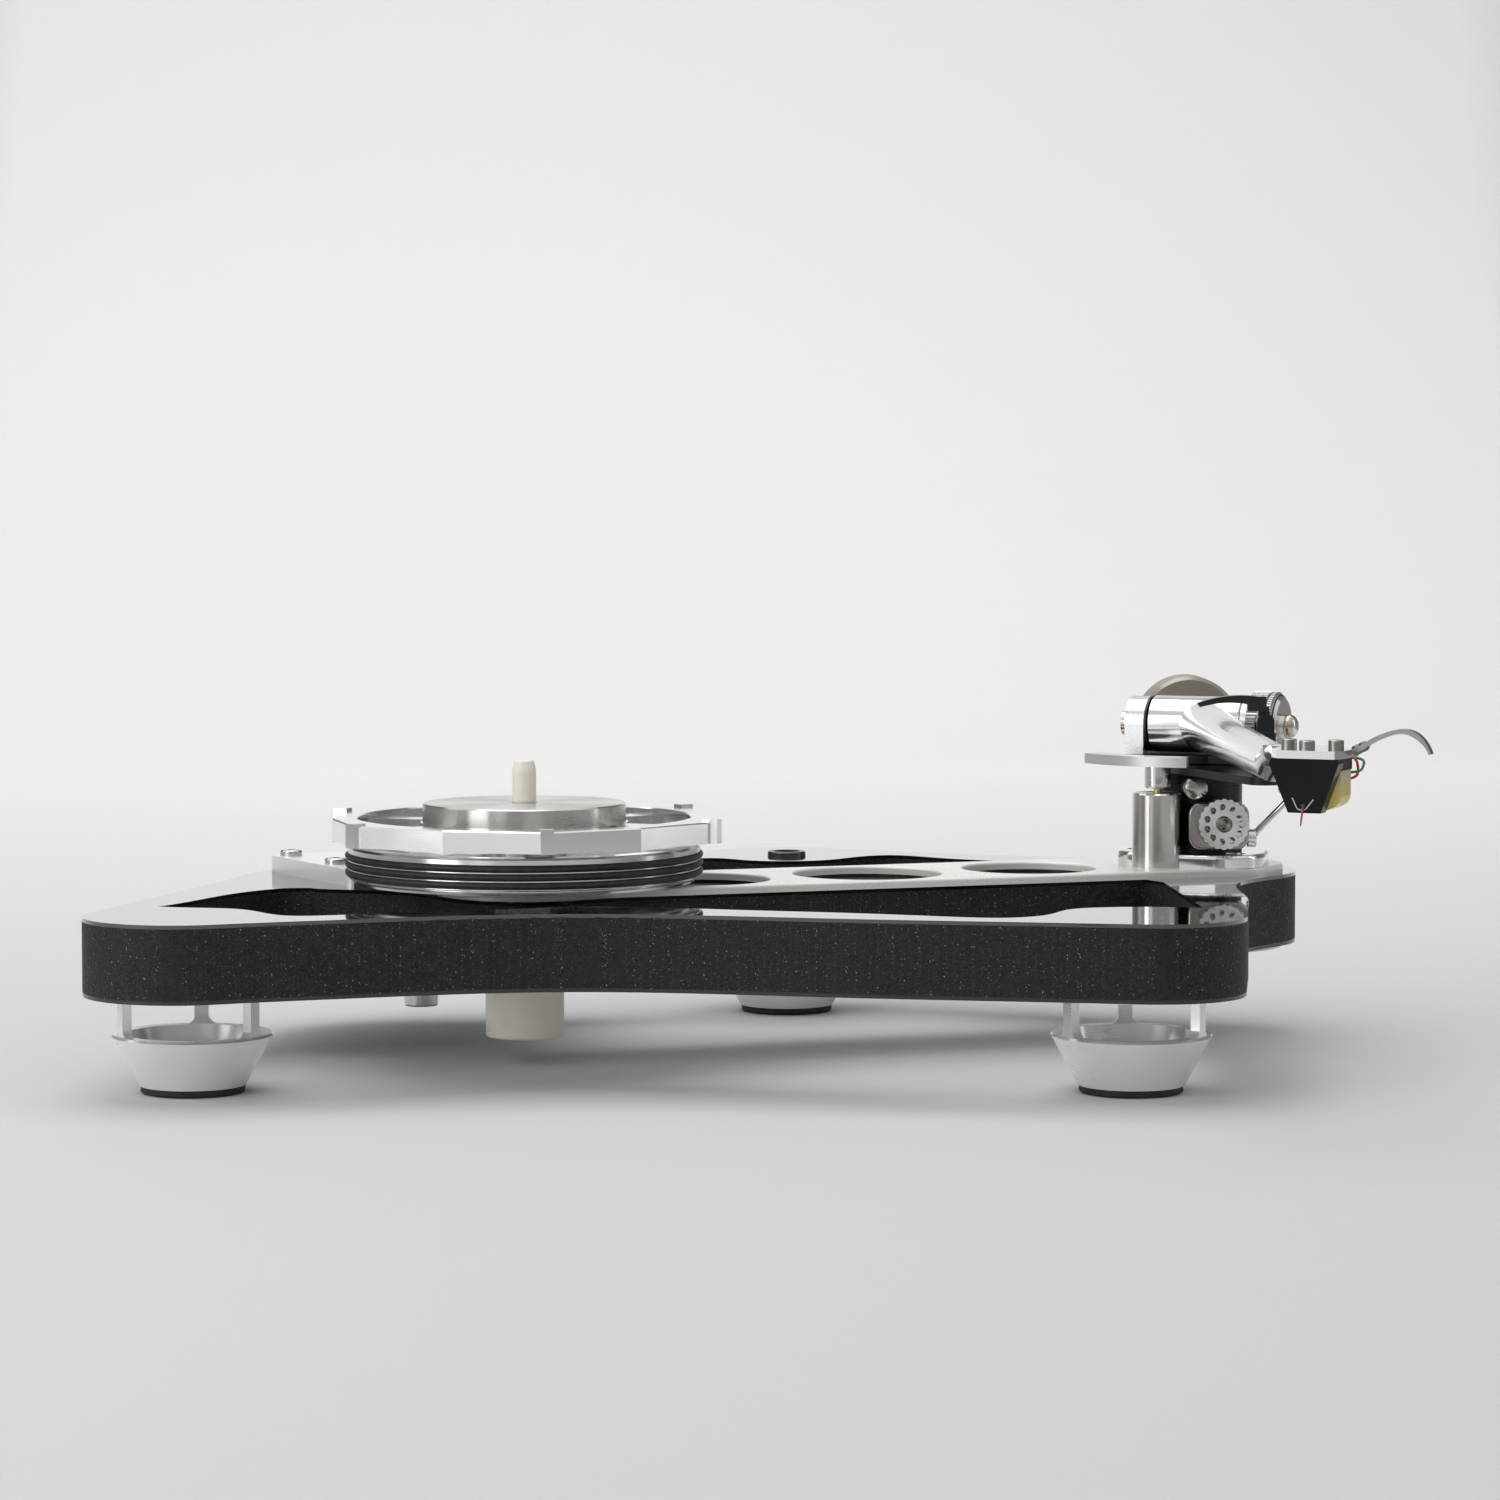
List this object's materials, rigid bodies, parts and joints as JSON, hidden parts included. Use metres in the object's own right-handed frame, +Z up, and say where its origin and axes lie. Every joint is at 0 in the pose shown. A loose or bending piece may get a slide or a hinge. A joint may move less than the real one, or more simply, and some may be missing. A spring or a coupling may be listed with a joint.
{
  "type": "turntable record player",
  "caption": "Belt-drive record player with a skeletal braced plinth, open cup feet, motor and belts, a driven ring with spindle, and a jointed tonearm with cueing lift and rest.",
  "frame": {"origin": "bottom centre of the bounding box, on the surface it stands on", "axes": "+X along the front from the platter side to the arm side, +Y to the back, +Z up"},
  "size_m": [0.3646, 0.3234, 0.1102],
  "materials": {
    "gloss_skin": "polished black laminate",
    "foam_core": "black lacquered edge with fine speckle",
    "brace_metal": "satin silver",
    "foot_metal": "satin turned",
    "pad_rubber": "matt black",
    "screw_steel": "fine turned",
    "housing_metal": "warm anodised",
    "turned_metal": "turned rings",
    "bush_bronze": "machined",
    "polished_steel": "polished",
    "motor_black": "satin black",
    "plate_metal": "brushed",
    "belt_rubber": "matt dark grey",
    "socket_plastic": "matt black",
    "arm_black": "satin black anodised",
    "arm_silver": "fine satin",
    "rod_brass": "polished",
    "cap_metal": "bronze anodised knurl",
    "weight_metal": "satin grey brown",
    "body_plastic": "matt black",
    "shell_plastic": "translucent yellow",
    "stylus_red": "red cantilever",
    "lead_plastic": "coloured sleeves",
    "lift_metal": "brushed"
  },
  "bodies": {
    "plinth": {"plinth_core": "foam_core", "top_skin": "gloss_skin", "bottom_skin": "gloss_skin", "top_brace": "brace_metal", "lower_brace": "brace_metal", "rear_plug": "screw_steel", "front_left_foot": "foot_metal", "front_right_foot": "foot_metal", "rear_foot": "foot_metal", "foot_pads": "pad_rubber", "foot_screws": "screw_steel", "bearing_housing": "housing_metal", "bearing_nut": "turned_metal", "bearing_bush": "bush_bronze", "thrust_ball": "polished_steel", "motor_body": "motor_black", "motor_plate": "plate_metal", "motor_screws": "screw_steel", "belts": "belt_rubber", "power_socket": "socket_plastic", "arm_base": "arm_silver", "arm_base_screws": "screw_steel", "arm_pillar": "arm_black", "arm_mount_nut": "arm_silver", "lead_gland": "socket_plastic", "arm_bearings": "polished_steel", "rest_bracket": "arm_black", "rest_post": "arm_black", "lift_cylinder": "lift_metal", "bias_housing": "arm_silver", "cue_damper": "arm_silver"},
    "platter_drive": {"platter_shaft": "polished_steel", "subplatter": "turned_metal", "support_ring": "turned_metal", "hub_disc": "turned_metal", "spindle": "polished_steel"},
    "motor_rotor": {"motor_shaft": "polished_steel", "pulley": "turned_metal"},
    "arm_carrier": {"yoke_base": "arm_black", "yoke_cheeks": "arm_silver", "cheek_shim": "arm_black", "tilt_pins": "polished_steel", "side_nut": "cap_metal"},
    "tracking_dial": {"force_dial": "cap_metal"},
    "arm_wand": {"arm_tube": "arm_silver", "headshell_screws": "screw_steel", "cartridge_body": "body_plastic", "cartridge_shell": "shell_plastic", "stylus": "stylus_red", "cartridge_leads": "lead_plastic", "finger_lift": "arm_silver"},
    "counterweight": {"counterweight": "weight_metal", "counterweight_screw": "screw_steel"},
    "arm_clip": {"rest_clip": "arm_black"},
    "lift": {"lift_rod": "rod_brass", "lift_head": "lift_metal", "lift_grub_screw": "screw_steel", "lift_platform": "arm_black"},
    "cue_lever": {"cue_lever": "arm_silver"},
    "bias_dial": {"bias_knob": "arm_silver"}
  },
  "joints": [
    {"name": "platter_spin", "type": "hinge", "parent": "plinth", "child": "platter_drive", "pos_m": [-0.06155, 0.00379, 0.0776], "axis": [0, 0, 1], "continuous": true},
    {"name": "pulley_spin", "type": "hinge", "parent": "plinth", "child": "motor_rotor", "pos_m": [-0.09755, 0.06578, 0.06], "axis": [0, 0, 1], "continuous": true},
    {"name": "arm_swing", "type": "hinge", "parent": "plinth", "child": "arm_carrier", "pos_m": [0.14738, 0.07884, 0.0848], "axis": [0, 0, -1], "range_deg": [0, 57]},
    {"name": "arm_tilt", "type": "hinge", "parent": "arm_carrier", "child": "arm_wand", "pos_m": [0.14738, 0.07884, 0.0966], "axis": [-0.9135, 0.4067, 0], "range_deg": [0, 1.5]},
    {"name": "counterweight_slide", "type": "slide", "parent": "arm_wand", "child": "counterweight", "axis": [0, 1, 0], "range_m": [-0.003, 0.004]},
    {"name": "force_dial_turn", "type": "hinge", "parent": "arm_carrier", "child": "tracking_dial", "pos_m": [0.16565, 0.0707, 0.0966], "axis": [0.9135, -0.4067, 0], "range_deg": [0, 300]},
    {"name": "bias_dial_turn", "type": "hinge", "parent": "plinth", "child": "bias_dial", "pos_m": [0.15198, 0.05684, 0.0672], "axis": [0, -1, 0], "range_deg": [0, 300]},
    {"name": "rest_clip_hinge", "type": "hinge", "parent": "plinth", "child": "arm_clip", "pos_m": [0.15988, 0.01684, 0.101], "axis": [0, 1, 0], "range_deg": [0, 60]},
    {"name": "lift_slide", "type": "slide", "parent": "plinth", "child": "lift", "axis": [0, 0, 1], "range_m": [0, 0.0006]},
    {"name": "cue_lever_hinge", "type": "hinge", "parent": "plinth", "child": "cue_lever", "pos_m": [0.16068, 0.06384, 0.062], "axis": [1, 0, 0], "range_deg": [0, 60]}
  ],
  "couplings": [
    {"joint": "pulley_spin", "follows": "platter_spin", "ratio": 5.6739},
    {"joint": "lift_slide", "follows": "arm_tilt", "m_per_rad": 0.02},
    {"joint": "cue_lever_hinge", "follows": "arm_tilt", "ratio": 39.9}
  ]
}
